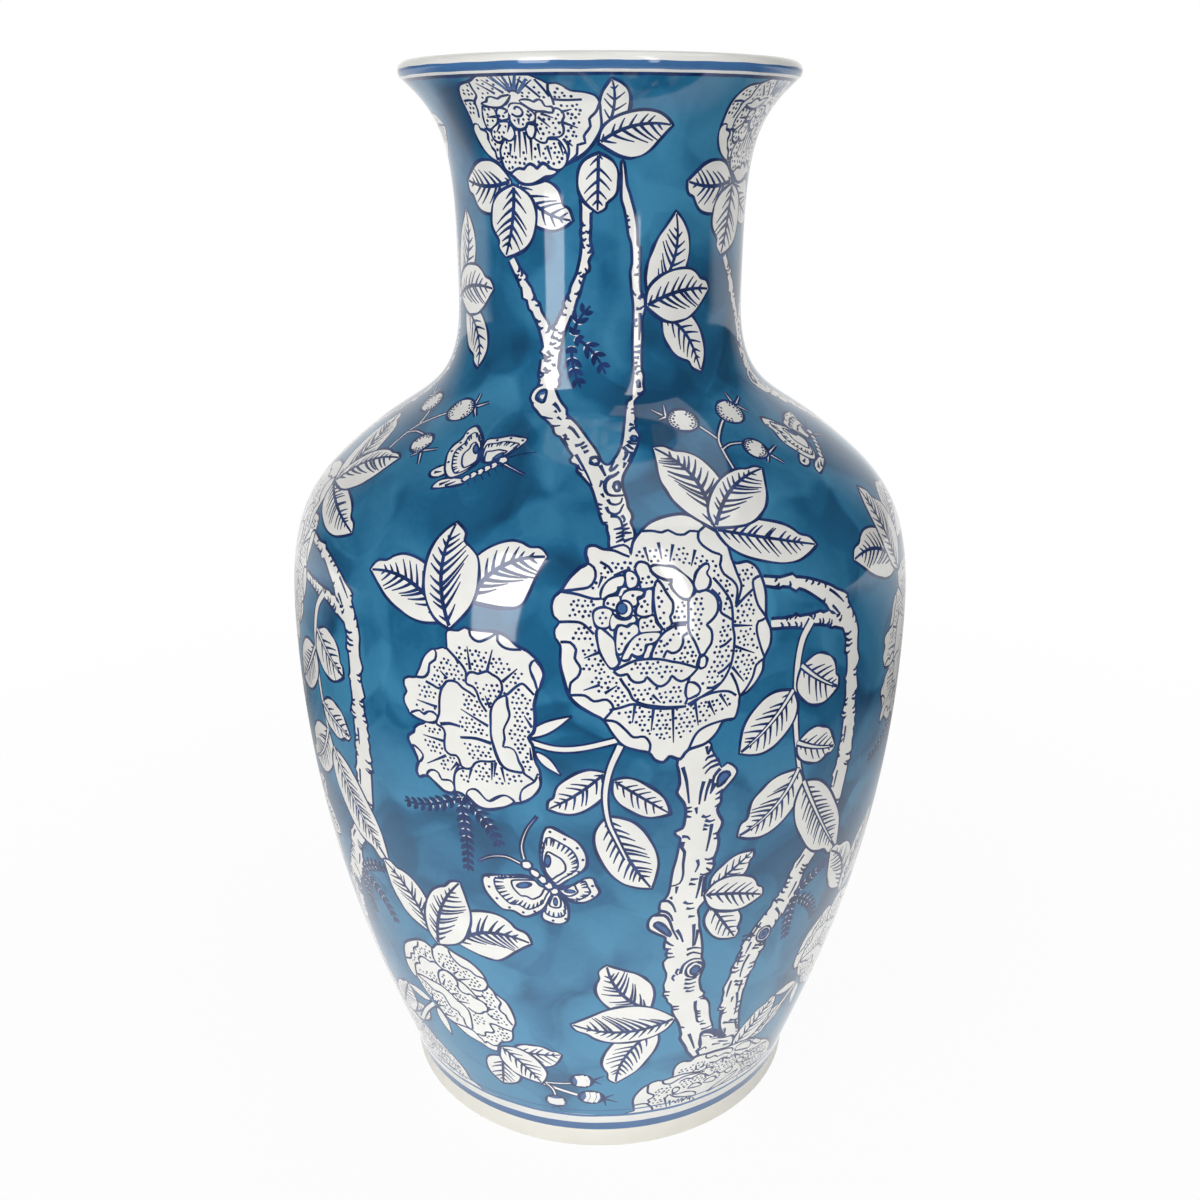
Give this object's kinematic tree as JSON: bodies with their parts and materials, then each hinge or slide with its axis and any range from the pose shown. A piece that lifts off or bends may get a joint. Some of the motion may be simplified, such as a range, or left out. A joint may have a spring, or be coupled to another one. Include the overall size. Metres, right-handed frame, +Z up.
{
  "type": "porcelain vase",
  "caption": "Tall baluster vase of glazed porcelain with a flared mouth, narrow neck, round shoulder and recessed foot, painted in blue and white; holds flowers or stands as ornament",
  "frame": {"origin": "On the vase's axis, at the table plane under the foot ring", "axes": "+Z up along the vase's axis, -Y towards the viewer of the picture, +X to the right"},
  "size_m": [0.25, 0.25, 0.42],
  "materials": {
    "painted_glaze": "underglaze blue painting with white reserves under a clear gloss glaze",
    "white_glaze": "clear gloss glaze on white porcelain",
    "foot_porcelain": "glazed outer face, bare ground seat"
  },
  "bodies": {
    "root": {"foot_ring": "foot_porcelain", "base_floor": "white_glaze", "lower_body": "painted_glaze", "shoulder": "painted_glaze", "neck": "painted_glaze", "mouth_rim": "white_glaze"}
  },
  "joints": []
}
